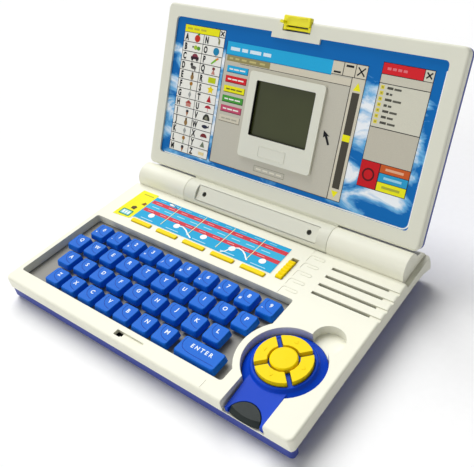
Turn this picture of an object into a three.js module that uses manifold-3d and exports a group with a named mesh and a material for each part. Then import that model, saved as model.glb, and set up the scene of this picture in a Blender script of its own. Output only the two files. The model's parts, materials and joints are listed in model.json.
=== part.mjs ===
// Toy laptop computer with a lift-out mouse, as separate parts. Millimetres, +Z up.
//
// The base parts are drawn in the deck frame: X to the right, Y back along the sloping deck
// from its front edge, Z off the deck. The lid parts are drawn in the lid frame: the hinge
// axis is the origin, Y runs up the lid and Z comes out of its screen side.
import * as THREE from 'three';
import { mergeVertices } from 'three/addons/utils/BufferGeometryUtils.js';
import Module from 'manifold-3d';

const wasm = await Module();
wasm.setup();

// ---------------------------------------------------------------- driving dimensions
const GAP = 0.3; // air between neighbouring parts
const WALL = 2.6; // moulded wall thickness

const DECK_SLOPE = 2; // degrees, deck to table
const HALF_WIDTH = 120.5;
const FRONT_HEIGHT = 20.2; // deck's front edge above the table
const FOOT_HEIGHT = 1.6;
const PARTING = -10.1; // top and bottom casings meet here
const REAR = { y: 147.5, z: -14.5, radius: 21.5 }; // the rounded back of the base
const CORNER = 4;
const EDGE = 1.5; // rounding along the rims
const DRAFT = 0.9; // the front wall leans in by this much down to the parting line
const TRAY = { half: HALF_WIDTH - 0.5, front: DRAFT + 0.3 }; // the tray stands in from the rim
const LEDGE = -3.2; // the end faces of the hinge block stand on a ledge at this height

const AXIS = { y: 141.85, z: 2.7 }; // lid hinge axis in the deck frame
const BARREL = 10.4; // radius of the hinge barrels
const KNUCKLE = { left: -67.5, right: 61 }; // the lid's own length of barrel
const BARREL_END = 117;
const TRUNNION = { radius: 3.6, length: 9 };

const WELL = { left: -115.6, right: 66.8, front: 11.2, back: 83.6, depth: 6.4 };
const KEY = { pitchX: 17, pitchY: 16.73, top: 1, foot: -3.4, topX: 12.5, topY: 12.7, skirtX: 14, skirtY: 14.2 };
const ROW_Y = 19.8; // centre line of the front row
const ROWS = [
  { keys: 'zxcvbnm', x: -86.1 },
  { keys: 'asdfghjkl', x: -93.6 },
  { keys: 'qwertyuiop', x: -101.9 },
  { keys: '0123456789', x: -95.5 },
];
const ENTER = { x: 43.6, length: 30.2 };
const KEY_COLOUR = 0x1268c8;

const MOUSE = { x: 88.6, y: 41, radius: 24.7, rimTop: -5.2, collar: 19.4, collarTop: -1.6, ring: 17.1 };
const WELL_RING = { outer: 29.5, inner: 25.2, floor: -9 };
const CHANNEL_HALF = 14.2;
const STEM = { half: 12.7, front: 1.6, backTop: -2.6, frontTop: -5.2 };
const SCOOP = { x: 101.8, y: 67.6, radius: 10.2 };

const MODE = { x: -76.7, y: 92.5, pitch: 26.2, length: 19.4, width: 3.2, count: 5 };
const SLIDER = { x: 47, front: 95, back: 113, slotBack: 116.6, half: 2.4 };
const SLOTS = { left: 72.6, right: 113, y: 95.4, pitch: 8.37, width: 2.4, count: 4 };
const CATCH = { left: -12.6, right: 9.8, front: 4.2, back: 7.6, depth: 1.3, hole: 5.4 };
const DOOR = { x: 0, y: 98, halfX: 37, halfY: 24 };

const OPEN_ANGLE = 116.5; // lid angle from closed, as it stands open
const LID = { half: 118.6, bottom: 11.3, top: 137.9, face: -1, parting: -7, back: -14, corner: 4.4 };
const SCREEN = { half: 108.6, bottom: 22.1, top: 128.6, depth: 1.8 };
const LCD = { half: 24.7, bottom: 54.6, top: 94.1, surroundHalf: 31.5, surroundBottom: 38, surroundTop: 100 };
const TAB = { half: 19.5, bottom: 125 };
const LATCH = { half: 10.8, bottom: 130.8, bar: 134.2, top: 140.8, tongueY: 136, pivotY: 132.4, pivotZ: -2.4 };
// the cover's plane is turned this far round the knuckle, so it faces the user with the lid open
const COVER = { x: -1.8, half: 54, width: 11.4, depth: 6.9, thickness: 1.3, turn: 19, screw: 47.2 };

const rad = THREE.MathUtils.degToRad;

// ---------------------------------------------------------------- solids and booleans
/** A closed three.js geometry as a manifold-3d solid. */
function solid(geometry) {
  const bare = geometry.clone();
  bare.deleteAttribute('normal');
  bare.deleteAttribute('uv');
  const merged = mergeVertices(bare, 1e-4);
  return new wasm.Manifold(new wasm.Mesh({
    numProp: 3,
    vertProperties: new Float32Array(merged.attributes.position.array),
    triVerts: new Uint32Array(merged.index.array),
  }));
}

/** A manifold-3d solid as a three.js geometry. */
function geometryOf(shape) {
  const mesh = shape.getMesh();
  const geometry = new THREE.BufferGeometry();
  geometry.setAttribute('position', new THREE.BufferAttribute(mesh.vertProperties, 3));
  geometry.setIndex(new THREE.BufferAttribute(mesh.triVerts, 1));
  return geometry;
}

const join = (...shapes) => shapes.reduce((whole, shape) => whole.add(shape));
const cut = (body, ...tools) => tools.reduce((whole, tool) => whole.subtract(tool), body);

/** A box between two corners. */
function box(x0, y0, z0, x1, y1, z1) {
  const geometry = new THREE.BoxGeometry(x1 - x0, y1 - y0, z1 - z0);
  return solid(geometry.translate((x0 + x1) / 2, (y0 + y1) / 2, (z0 + z1) / 2));
}

/** A rectangle with round corners. */
function roundedRect(x0, y0, x1, y1, r) {
  const shape = new THREE.Shape();
  shape.absarc(x1 - r, y0 + r, r, -Math.PI / 2, 0);
  shape.absarc(x1 - r, y1 - r, r, 0, Math.PI / 2);
  shape.absarc(x0 + r, y1 - r, r, Math.PI / 2, Math.PI);
  shape.absarc(x0 + r, y0 + r, r, Math.PI, 1.5 * Math.PI);
  shape.closePath();
  return shape;
}

/** A flat outline raised from z0 to z1, its edges rounded by bevel inside that height. */
function slab(shape, z0, z1, bevel = 0, curveSegments = 5) {
  const geometry = new THREE.ExtrudeGeometry(shape, {
    depth: z1 - z0 - 2 * bevel,
    bevelEnabled: bevel > 0,
    bevelThickness: bevel,
    bevelSize: bevel,
    bevelOffset: -bevel,
    bevelSegments: 3,
    curveSegments,
  });
  return solid(geometry.translate(0, 0, z0 + bevel));
}

/** An outline drawn in (y, z) and drawn out along X, its ends rounded by bevel. */
function beam(shape, x0, x1, bevel = 0, curveSegments = 12) {
  const geometry = new THREE.ExtrudeGeometry(shape, {
    depth: x1 - x0 - 2 * bevel,
    bevelEnabled: bevel > 0,
    bevelThickness: bevel,
    bevelSize: bevel,
    bevelOffset: -bevel,
    bevelSegments: 3,
    curveSegments,
  });
  geometry.translate(0, 0, x0 + bevel);
  // shape x, shape y, depth become Y, Z, X
  geometry.applyMatrix4(new THREE.Matrix4().set(0, 0, 1, 0, 1, 0, 0, 0, 0, 1, 0, 0, 0, 0, 0, 1));
  return solid(geometry);
}

/** A straight-sided outline from corner points. */
function polygon(...points) {
  return new THREE.Shape(points.map(([x, y]) => new THREE.Vector2(x, y)));
}

/** A round outline. */
function disc(x, y, r) {
  const shape = new THREE.Shape();
  shape.absarc(x, y, r, 0, 2 * Math.PI);
  return shape;
}

/** A turned solid about the Z axis through (x, y); the profile is [radius, z] pairs. */
function turned(x, y, profile, segments = 40) {
  const points = profile.map(([r, z]) => new THREE.Vector2(r, z));
  return solid(new THREE.LatheGeometry(points, segments).rotateX(Math.PI / 2).translate(x, y, 0));
}

/** A rod along X about the line through (y, z). */
function rod(x0, x1, y, z, r, segments = 40) {
  const geometry = new THREE.CylinderGeometry(r, r, x1 - x0, segments).rotateZ(Math.PI / 2);
  return solid(geometry.translate((x0 + x1) / 2, y, z));
}

/** One ring of a loft: a rounded rectangle of the given half sizes at height z. */
function ring(halfX, halfY, r, z, steps = 2) {
  const centres = [[1, -1], [1, 1], [-1, 1], [-1, -1]];
  return centres.flatMap(([sx, sy], corner) => Array.from({ length: steps + 1 }, (_, i) => {
    const angle = (corner - 1 + i / steps) * Math.PI / 2;
    const x = sx * (halfX - r) + r * Math.cos(angle);
    const y = sy * (halfY - r) + r * Math.sin(angle);
    return new THREE.Vector3(x, y, z);
  }));
}

/** Rings joined in order into one closed skin, the first and last ring capped. */
function loft(rings) {
  const count = rings[0].length;
  const index = [];
  for (let level = 0; level + 1 < rings.length; level += 1) {
    for (let i = 0; i < count; i += 1) {
      const a = level * count + i;
      const b = level * count + (i + 1) % count;
      index.push(a, b, b + count, a, b + count, a + count);
    }
  }
  const last = (rings.length - 1) * count;
  for (let i = 1; i + 1 < count; i += 1) {
    index.push(0, i + 1, i, last, last + i, last + i + 1);
  }
  const geometry = new THREE.BufferGeometry().setFromPoints(rings.flat());
  geometry.setIndex(index);
  return geometry;
}

// ---------------------------------------------------------------- scene helpers
const object = new THREE.Group();
const deck = new THREE.Group();
const lid = new THREE.Group();
const mouse = new THREE.Group();
object.add(deck);
deck.add(lid, mouse);
deck.rotation.x = rad(DECK_SLOPE);
deck.position.set(0, 0, FRONT_HEIGHT);
lid.position.set(0, AXIS.y, AXIS.z);
lid.rotation.x = rad(180 - OPEN_ANGLE);
mouse.position.set(MOUSE.x, MOUSE.y, 0);

const CREAM = { color: 0xe9e6d6, roughness: 0.5, metalness: 0 };
const BLUE = { color: 0x1a3fb4, roughness: 0.4, metalness: 0 };
const YELLOW = { color: 0xf7d90a, roughness: 0.4, metalness: 0 };
const GRAY = { color: 0x8f8c88, roughness: 0.6, metalness: 0 };
const DARK = { color: 0x3c4146, roughness: 0.5, metalness: 0 };

/** Adds one named part to a group. */
function add(group, name, shape, finish, position = [0, 0, 0]) {
  const geometry = shape.isBufferGeometry ? shape : geometryOf(shape);
  const mesh = new THREE.Mesh(geometry, new THREE.MeshStandardMaterial(finish));
  mesh.name = name;
  mesh.position.set(...position);
  group.add(mesh);
}

// ---------------------------------------------------------------- base casings
/** Underside of the bottom casing, in the deck frame, at distance y from the front. */
const underside = (y) => -FRONT_HEIGHT + FOOT_HEIGHT - y * Math.tan(rad(DECK_SLOPE));

/** Outline in (y, z) of the base's rounded rear block. */
function rearBlock(inset, front, bottom) {
  const shape = new THREE.Shape();
  shape.moveTo(front, bottom);
  shape.lineTo(REAR.y + REAR.radius - inset - 3, bottom);
  shape.lineTo(REAR.y + REAR.radius - inset, bottom + 4);
  shape.absarc(REAR.y, REAR.z, REAR.radius - inset, 0, rad(100));
  shape.lineTo(front, -inset);
  shape.closePath();
  return shape;
}

/** Everything above the line where the casings meet, which dips at the back. */
function aboveParting(drop) {
  const z = PARTING - drop;
  const shape = polygon([-20, z], [146, z], [156, z - 1.3], [163, z - 3.6], [190, z - 14], [190, 60], [-20, 60]);
  return beam(shape, -200, 200);
}

const mouseRing = (r, z0, z1) => slab(disc(MOUSE.x, MOUSE.y, r), z0, z1, 0, 24);

/** Key well outline grown on all sides, with a round bite for the mouse well. */
function keyWell(grow, z0, z1, bite = WELL_RING.outer) {
  const shape = roundedRect(WELL.left - grow, WELL.front - grow, WELL.right + grow, WELL.back + grow, 2);
  return cut(slab(shape, z0, z1, 0, 3), mouseRing(bite, z0 - 1, z1 + 1));
}

function baseTopCasing() {
  const plan = roundedRect(-HALF_WIDTH, 0, HALF_WIDTH, REAR.y + 60, CORNER);
  const deckSlab = slab(plan, -40, 0, EDGE, 6).intersect(box(-200, -10, -40, 200, AXIS.y, 40));
  const rear = beam(rearBlock(0, AXIS.y - 1, -40), -HALF_WIDTH, HALF_WIDTH, 2);
  const leaning = polygon([-5, 2], [0, -EDGE], [DRAFT, PARTING], [DRAFT, -40], [-5, -40]);
  const blockEnd = (x0, x1) => box(x0, AXIS.y - BARREL - 0.6, LEDGE, x1, 200, 60);
  let body = cut(
    join(deckSlab, rear).intersect(aboveParting(0)),
    beam(leaning, -200, 200),
    blockEnd(-200, -BARREL_END),
    blockEnd(BARREL_END, 200),
  );

  // hollow under the deck and in the back
  const under = roundedRect(WALL - HALF_WIDTH, WALL, HALF_WIDTH - WALL, AXIS.y - 14, CORNER - WALL);
  const back = beam(rearBlock(WALL, AXIS.y - 16, -40), WALL - HALF_WIDTH, HALF_WIDTH - WALL);
  body = cut(body, slab(under, -40, -WALL, 0, 3), back.intersect(box(-200, 0, -40, 200, 200, -10.4)));

  // side barrels with sockets for the lid's trunnions, and the trough for its knuckle
  const barrels = [[-BARREL_END, KNUCKLE.left - GAP], [KNUCKLE.right + GAP, BARREL_END]];
  for (const [x0, x1] of barrels) {
    body = join(body, rod(x0, x1, AXIS.y, AXIS.z, BARREL, 48).intersect(aboveParting(0)));
  }
  const axis = new THREE.Vector2(AXIS.y, AXIS.z);
  const lean = rad(180 - OPEN_ANGLE - 8);
  const up = new THREE.Vector2(Math.cos(lean), Math.sin(lean));
  const rearward = new THREE.Vector2(Math.sin(lean), -Math.cos(lean)).multiplyScalar(BARREL + 0.8);
  const foot = axis.clone().add(rearward);
  const far = foot.clone().addScaledVector(up, 40);
  const sweep = polygon([axis.x, axis.y], [foot.x, foot.y], [far.x, far.y], [axis.x, far.y]);
  const room = [KNUCKLE.left - GAP, KNUCKLE.right + GAP];
  body = cut(body, rod(...room, AXIS.y, AXIS.z, BARREL + 0.8, 48), beam(sweep, ...room));
  const socket = TRUNNION.radius + 0.4;
  const reach = TRUNNION.length + 1;
  body = cut(body, rod(room[0] - reach, room[1] + reach, AXIS.y, AXIS.z, socket, 24));

  // well walls: key well, mouse cup, mouse channel, finger scoop, latch catch
  const channel = (grow, z0, z1) => box(
    MOUSE.x - CHANNEL_HALF - grow, -grow, z0, MOUSE.x + CHANNEL_HALF + grow, MOUSE.y, z1,
  );
  const scoop = (grow) => slab(disc(SCOOP.x, SCOOP.y, SCOOP.radius + grow), -6.4 - grow, 1, 0, 12);
  const cupBottom = PARTING;
  body = join(
    body,
    keyWell(1.8, -WELL.depth + GAP, -1),
    mouseRing(WELL_RING.outer, cupBottom, 0),
    channel(1.8, cupBottom, -1).intersect(box(-200, WALL / 2, -40, 200, 200, 0)),
    scoop(1.8).intersect(box(-200, 0, -40, 200, 200, 0)),
  );
  body = cut(
    body,
    keyWell(0, -40, 1).intersect(box(-200, 0, -WELL.depth - 3, 200, 200, 1)),
    mouseRing(WELL_RING.inner, WELL_RING.floor, 1),
    channel(0, WELL_RING.floor, 1).intersect(box(-200, -5, -40, 200, 200, 40)),
    box(MOUSE.x - CHANNEL_HALF, -5, WELL_RING.floor, MOUSE.x + CHANNEL_HALF, 5, 1),
    scoop(0),
    box(CATCH.left, CATCH.front, -CATCH.depth, CATCH.right, CATCH.back, 1),
    box(CATCH.left, CATCH.front - 0.8, -5, CATCH.left + CATCH.hole, CATCH.back, 1),
  );

  // openings in the deck
  for (let i = 0; i < SLOTS.count; i += 1) {
    const y = SLOTS.y + i * SLOTS.pitch;
    const half = SLOTS.width / 2;
    body = cut(
      body,
      box(SLOTS.left, y - half, -5, SLOTS.right, y + half, 1),
      box(SLOTS.right - 1, y - half, -0.8, 200, y + half, 1),
    );
  }
  for (let i = 0; i < MODE.count; i += 1) {
    body = cut(body, modeSlab(i, GAP + 0.1, -5, 1));
  }
  const slot = SLIDER.half + GAP;
  return cut(body, box(SLIDER.x - slot, SLIDER.front - GAP, -5, SLIDER.x + slot, SLIDER.slotBack, 1));
}

/** The footprint of one mode button. */
function modeSlab(i, grow, z0, z1) {
  const x = MODE.x + i * MODE.pitch;
  const halfX = MODE.length / 2 + grow;
  const halfY = MODE.width / 2 + grow;
  return slab(roundedRect(x - halfX, MODE.y - halfY, x + halfX, MODE.y + halfY, 0.9), z0, z1, 0, 2);
}

/** Outline in (y, z) of the bottom casing, its underside level with the table. */
function trayOutline(inset) {
  const front = TRAY.front + inset;
  const back = REAR.y + REAR.radius - 1.2 - inset;
  const shape = new THREE.Shape();
  shape.moveTo(front, 20);
  shape.lineTo(front, underside(front) + 1.5 + inset);
  shape.lineTo(front + 1.5, underside(front) + inset);
  shape.lineTo(back - 9, underside(back) + inset);
  shape.quadraticCurveTo(back, underside(back) + inset, back, underside(back) + 9 + inset);
  shape.lineTo(back, 20);
  shape.closePath();
  return shape;
}

/** What the tray loses behind its front corners, where its sides lean in under the rim. */
function sideRelief(body, inset) {
  const side = TRAY.half - inset;
  const lean = { top: PARTING - 0.8, bottom: PARTING - 6.4, depth: 5.9, start: 6, run: 300 };
  const outline = [
    [side, lean.top], [side - lean.depth, lean.bottom], [side - lean.depth, -80], [200, -80], [200, lean.top],
  ];
  for (const sign of [1, -1]) {
    const points = outline.map(([x, z]) => [sign * x, z]);
    const shape = polygon(...(sign > 0 ? points : points.toReversed()));
    const geometry = new THREE.ExtrudeGeometry(shape, { depth: lean.run, bevelEnabled: false });
    // the outline's second axis becomes Z and the run goes back along Y
    geometry.rotateX(Math.PI / 2).translate(0, lean.run + lean.start - inset, 0);
    body = cut(body, solid(geometry));
  }
  return body;
}

const FEET = [[-96, 16], [96, 16], [-96, 148], [96, 148]];

function baseBottomCasing() {
  const side = TRAY.half;
  const plan = roundedRect(-side, TRAY.front, side, REAR.y + 60, CORNER - 0.5);
  const below = (shape) => shape.subtract(aboveParting(GAP));
  let body = below(beam(trayOutline(0), -side, side, 2).intersect(slab(plan, -60, 30, 0, 5)));
  const inner = side - WALL;
  const front = TRAY.front + WALL;
  const hollow = beam(trayOutline(WALL), -inner, inner).intersect(box(-200, front, -60, 200, 200, 30));
  body = cut(sideRelief(body, 0), sideRelief(hollow, WALL));

  // battery door opening with a ledge for the door's tongues
  const door = (grow, z0, z1) => box(
    DOOR.x - DOOR.halfX - grow, DOOR.y - DOOR.halfY - grow, z0, DOOR.x + DOOR.halfX + grow, DOOR.y + DOOR.halfY + grow, z1,
  );
  body = cut(body, door(GAP, -40, -10));

  // flat round pads under the corners
  const level = new THREE.Matrix4().makeRotationX(rad(-DECK_SLOPE));
  for (const [x, y] of FEET) {
    const pad = new THREE.CylinderGeometry(8, 8, FOOT_HEIGHT + 1.2, 28).rotateX(Math.PI / 2);
    const ground = -FRONT_HEIGHT - y * Math.tan(rad(DECK_SLOPE));
    pad.translate(0, 0, (FOOT_HEIGHT + 1.2) / 2).applyMatrix4(level).translate(x, y, ground);
    body = join(body, solid(pad));
  }
  return body;
}

function batteryCover() {
  const level = new THREE.Matrix4().makeRotationX(rad(-DECK_SLOPE));
  const plate = new THREE.BoxGeometry(2 * DOOR.halfX, 2 * DOOR.halfY, 2);
  plate.translate(0, 0, 1).applyMatrix4(level).translate(DOOR.x, DOOR.y, underside(DOOR.y) + 0.05);
  const grip = new THREE.CylinderGeometry(9, 9, 1.6, 24).rotateX(Math.PI / 2);
  grip.applyMatrix4(level).translate(DOOR.x, DOOR.y + 13, underside(DOOR.y + 13));
  return cut(solid(plate), solid(grip));
}

add(deck, 'base_top_casing', baseTopCasing(), CREAM);
add(deck, 'base_bottom_casing', baseBottomCasing(), BLUE);
add(deck, 'battery_cover', batteryCover(), BLUE);

// ---------------------------------------------------------------- keyboard
const bedTop = -WELL.depth;
const bedBite = WELL_RING.outer + GAP;
add(deck, 'key_bed', keyWell(1.4, bedTop - 2, bedTop, bedBite), GRAY);
add(deck, 'key_membrane', keyWell(-2, bedTop - 3.8, bedTop - 2 - GAP, bedBite), DARK);

/** A hollow tapered key cap with rounded rims; its origin is the middle of its foot. */
function keyCap(lengthX) {
  const height = KEY.top - KEY.foot;
  const stretch = (lengthX - KEY.topX) / 2;
  const halfX = KEY.skirtX / 2 + stretch;
  const halfY = KEY.skirtY / 2;
  const topX = KEY.topX / 2 + stretch;
  const topY = KEY.topY / 2;
  const hollow = 1.3;
  return loft([
    ring(topX - hollow, topY - hollow, 0.8, height - hollow),
    ring(halfX - hollow, halfY - hollow, 0.8, 0),
    ring(halfX, halfY, 1.6, 0),
    ring(topX + 0.15, topY + 0.15, 1.6, height - 0.5),
    ring(topX - 0.25, topY - 0.25, 1.3, height),
  ]);
}

ROWS.forEach((row, index) => {
  const y = ROW_Y + index * KEY.pitchY;
  [...row.keys].forEach((letter, column) => {
    const x = row.x + column * KEY.pitchX;
    add(deck, `key_${letter}`, keyCap(KEY.topX), { color: KEY_COLOUR, roughness: 0.35 }, [x, y, KEY.foot]);
  });
});
add(deck, 'key_enter', keyCap(ENTER.length), { color: KEY_COLOUR, roughness: 0.35 }, [ENTER.x, ROW_Y, KEY.foot]);

// ---------------------------------------------------------------- deck controls and innards
for (let i = 0; i < MODE.count; i += 1) {
  const flange = modeSlab(i, 1.2, -4.4, -WALL - GAP);
  const stem = modeSlab(i, 0, -4.2, 1.1);
  add(deck, `mode_button_${i + 1}`, join(flange, stem), YELLOW);
}

function volumeSlider() {
  const { x, half, front, back } = SLIDER;
  const wave = new THREE.Shape();
  wave.moveTo(front, -2.2);
  wave.lineTo(front, 0.9);
  const ribs = 6;
  const step = (back - front) / ribs;
  for (let i = 0; i < ribs; i += 1) {
    const y = front + i * step;
    wave.quadraticCurveTo(y + step / 2, 2.6, y + step, 0.9);
  }
  wave.lineTo(back, -2.2);
  wave.closePath();
  const carriage = box(x - half - 1.5, front - 1, -4, x + half + 1.5, back - 1, -WALL - GAP);
  return join(carriage, beam(wave, x - half, x + half, 0, 3), box(x - half, front, -3, x + half, back - 1, -2));
}
add(deck, 'volume_slider', volumeSlider(), YELLOW);

function mainBoard() {
  const chips = [[-70, 30, 12, 6], [-20, 50, 9, 9], [20, 26, 7, 4]];
  return chips.reduce(
    (board, [x, y, halfX, halfY]) => join(board, box(x - halfX, y - halfY, -14.5, x + halfX, y + halfY, -13.4)),
    box(-108, 12, -13.6, 52, 78, -12),
  );
}
add(deck, 'main_board', mainBoard(), { color: 0x2f7d3a, roughness: 0.6 });

const SPEAKER = [[0, -6.5], [7, -6.5], [17.5, -3], [19, -3], [19, -4.4], [17.5, -4.4], [10, -8.6], [10, -13.4], [0, -13.4]];
add(deck, 'speaker', turned(94, 108, SPEAKER.toReversed(), 36), DARK);

// ---------------------------------------------------------------- mouse, about its own centre
const stemBox = (half, front, z0, z1) => box(-half, front - MOUSE.y, z0, half, 0, z1);
// the thumb button is a lens on the stem's slope, from the slope's front end; its front face bulges
const THUMB = { y: -1.5, radius: 10.6, creaseHalf: 9.6, creaseY: 2.4, creaseSag: 1.8, bulge: 1.4, thickness: 1.4, lip: 0.35 };
const ARC = { inner: 9.6, outer: MOUSE.ring, gap: 1.5 };

/** The four arcs of the direction pad: a ring without its two diagonals. */
function arcs(grow, z0, z1) {
  const bar = (angle) => {
    const geometry = new THREE.BoxGeometry(60, 2 * (ARC.gap - grow), z1 - z0 + 2);
    return solid(geometry.rotateZ(angle).translate(0, 0, (z0 + z1) / 2));
  };
  const outer = slab(disc(0, 0, ARC.outer + grow), z0, z1, 0, 16);
  const hole = slab(disc(0, 0, ARC.inner - grow), z0 - 1, z1 + 1, 0, 10);
  return cut(outer, hole, bar(Math.PI / 4), bar(-Math.PI / 4));
}

/** The sloping top of the mouse's stem, from the disc down to its front end. */
function stemBody(inset, bottom) {
  const front = STEM.front - MOUSE.y + inset;
  const shape = polygon(
    [front, bottom], [0, bottom], [0, STEM.backTop - inset], [-20, STEM.backTop - inset], [front, STEM.frontTop - inset],
  );
  return beam(shape, -STEM.half + inset, STEM.half - inset);
}

/** Moves a solid drawn on the stem's sloping top, from its front end, to its place in the mouse. */
function onStem(shape) {
  const slope = Math.atan2(STEM.backTop - STEM.frontTop, MOUSE.y - STEM.front - 20);
  return shape.rotate([slope / rad(1), 0, 0]).translate([0, STEM.front - MOUSE.y, STEM.frontTop]);
}

function mouseTopShell() {
  const { radius, rimTop, collar, collarTop, ring: pad } = MOUSE;
  const foot = -7.2;
  const outside = turned(0, 0, [
    [0, foot], [radius, foot], [radius, rimTop - 0.6], [radius - 0.6, rimTop],
    [collar + 0.8, collarTop - 0.7], [collar, collarTop + 0.9], [collar - 0.6, collarTop + 1.3],
    [pad + 0.9, collarTop + 1.3], [pad + 0.5, collarTop + 0.9], [0, collarTop + 0.9],
  ], 56);
  const inside = turned(0, 0, [
    [0, foot - 1], [radius - 1.8, foot - 1], [radius - 1.8, rimTop - 1.4], [collar - 1, collarTop - 1.8],
    [pad + 1, collarTop - 0.9], [0, collarTop - 0.9],
  ], 56);
  const shell = cut(join(outside, stemBody(0, foot)), inside, stemBody(1.8, foot - 1));
  const thumbHole = onStem(slab(disc(0, THUMB.y, THUMB.radius + GAP), -6, 3, 0, 16));
  const buttonHole = slab(disc(0, 0, 8.2 + GAP), -12, 3, 0, 12);
  return cut(shell, arcs(GAP, -12, 3), buttonHole, thumbHole);
}

function mouseBottomShell() {
  const plate = (inset, z0, z1) => join(
    slab(disc(0, 0, MOUSE.radius - 0.1 - inset), z0, z1, 0, 24),
    stemBox(STEM.half - inset, STEM.front + inset, z0, z1),
  );
  const whole = plate(0, WELL_RING.floor + GAP, -7.5);
  // room for the thumb button's front face
  return cut(whole, box(-THUMB.radius, -MOUSE.y, -12, THUMB.radius, 3.6 - MOUSE.y, 0));
}

add(mouse, 'mouse_top_shell', mouseTopShell(), BLUE);
add(mouse, 'mouse_bottom_shell', mouseBottomShell(), BLUE);
const button = [[0, -6.4], [7.2, -6.4], [7.2, -4.4], [8.2, -4.4], [8.2, 2.2], [7.5, 2.8], [0, 3]];
add(mouse, 'select_button', turned(0, 0, button, 36), YELLOW);
const padRing = cut(slab(disc(0, 0, ARC.outer + 0.6), -5.4, -3, 0, 16), slab(disc(0, 0, ARC.inner - 0.6), -9, 0, 0, 10));
add(mouse, 'arrow_ring', join(padRing, arcs(0, -4, 2.3)), YELLOW);

/** Lens-shaped button: a round back edge, and a front face that swells out below its crease. */
function thumbButton() {
  const { y, radius, creaseHalf, creaseY, creaseSag, bulge, thickness, lip } = THUMB;
  const crease = (t) => [creaseHalf * t, creaseY - creaseSag * (1 - t * t)];
  const steps = Array.from({ length: 13 }, (_, i) => i / 6 - 1);
  const top = slab(disc(0, y, radius - 0.1), -thickness, lip, 0.3, 20);
  const front = steps.flatMap((t) => {
    const [x, edge] = crease(t);
    return [[x, edge, lip - 0.15], [x, edge, -thickness], [x * 1.05, -0.3 - bulge * (1 - t * t), -2.6]];
  });
  const ahead = [[40, -40], [40, creaseY], ...steps.map(crease).toReversed(), [-40, creaseY], [-40, -40]];
  const trimmed = cut(top, slab(polygon(...ahead), -9, 9));
  return onStem(join(trimmed, wasm.Manifold.hull(front)));
}
add(mouse, 'thumb_button', thumbButton(), DARK);

// ---------------------------------------------------------------- lid
const lidRect = (inset, r) => roundedRect(
  -LID.half + inset, LID.bottom + inset, LID.half - inset, LID.top - inset, r,
);

function lidFrontCasing() {
  const { half, bottom, top, depth } = SCREEN;
  let body = slab(lidRect(0, LID.corner), LID.parting - 3, LID.face, 1.6, 5).intersect(
    box(-200, -50, LID.parting + GAP / 2, 200, 200, 10),
  );
  body = cut(
    body,
    slab(lidRect(WALL, LID.corner - WALL), LID.parting - 1, LID.face - depth - 2, 0, 3),
    cut(
      slab(roundedRect(-half, bottom, half, top, 3), LID.face - depth, 5, 0, 3),
      box(-TAB.half, TAB.bottom, -20, TAB.half, 200, 20),
    ),
  );
  // raised surround with the display window
  const surround = roundedRect(-LCD.surroundHalf, LCD.surroundBottom, LCD.surroundHalf, LCD.surroundTop, 2.4);
  const window = roundedRect(-LCD.half, LCD.bottom, LCD.half, LCD.top, 1);
  body = cut(
    join(body, slab(surround, LID.face - depth - 1, LID.face + 0.3, 0, 4)),
    slab(window, -20, 5, 0, 2),
  );
  // hinge knuckle, neck and trunnions
  const { left, right } = KNUCKLE;
  const { radius, length } = TRUNNION;
  body = join(
    body,
    rod(left, right, 0, 0, BARREL, 48),
    box(left, 0, -BARREL, right, LID.bottom + WALL + 0.1, LID.face - 0.6).intersect(
      box(left, 0, LID.parting + GAP / 2, right, 50, 0),
    ),
    rod(left - length, right + length, 0, 0, radius, 24),
  );
  // flat seat for the screwed cover, latch slot through the top rim
  const seat = new THREE.BoxGeometry(COVER.half * 2 + 2 * GAP, COVER.width + 2 * GAP, 20);
  return cut(body, coverFrame(seat, COVER.depth + 10), latchSlot());
}

/** Moves a piece drawn about the origin, facing +Z, to the knuckle's cover seat. */
function coverFrame(geometry, distance) {
  return solid(geometry.translate(0, 0, distance).rotateX(-rad(COVER.turn)).translate(COVER.x, 0, 0));
}

function hingeCover() {
  const plate = new THREE.BoxGeometry(COVER.half * 2, COVER.width, COVER.thickness);
  let body = coverFrame(plate, COVER.depth + GAP + COVER.thickness / 2);
  for (const x of [-COVER.screw, COVER.screw]) {
    const hole = new THREE.CylinderGeometry(1.9, 1.9, 10, 20).rotateX(Math.PI / 2).translate(x, 0, 0);
    body = cut(body, coverFrame(hole, COVER.depth));
  }
  return body;
}

/** The latch's place in the top rim, with holes for its pivot pins. */
function latchSlot() {
  const { half, bottom, pivotY, pivotZ } = LATCH;
  const notch = box(-half - 0.4, bottom - 0.4, LID.parting - 3, half + 0.4, 200, 10);
  return join(notch, rod(-half - 3, half + 3, pivotY, pivotZ, 1.3, 16));
}

function lidBackCasing() {
  const outside = slab(lidRect(0, LID.corner), LID.back, LID.parting + 8, 4, 5);
  const inside = slab(lidRect(WALL, LID.corner - WALL), LID.back + WALL, 20, 0, 3);
  const back = outside.intersect(box(-200, -50, -50, 200, 200, LID.parting - GAP / 2));
  return cut(back, inside, latchSlot());
}

function lcdModule() {
  const glass = slab(roundedRect(-LCD.half + GAP, LCD.bottom + GAP, LCD.half - GAP, LCD.top - GAP, 0.8), -6, -3.1, 0, 2);
  return join(glass, box(-LCD.half - 4, LCD.bottom - 4, -8.4, LCD.half + 4, LCD.top + 4, -5.2));
}

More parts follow.
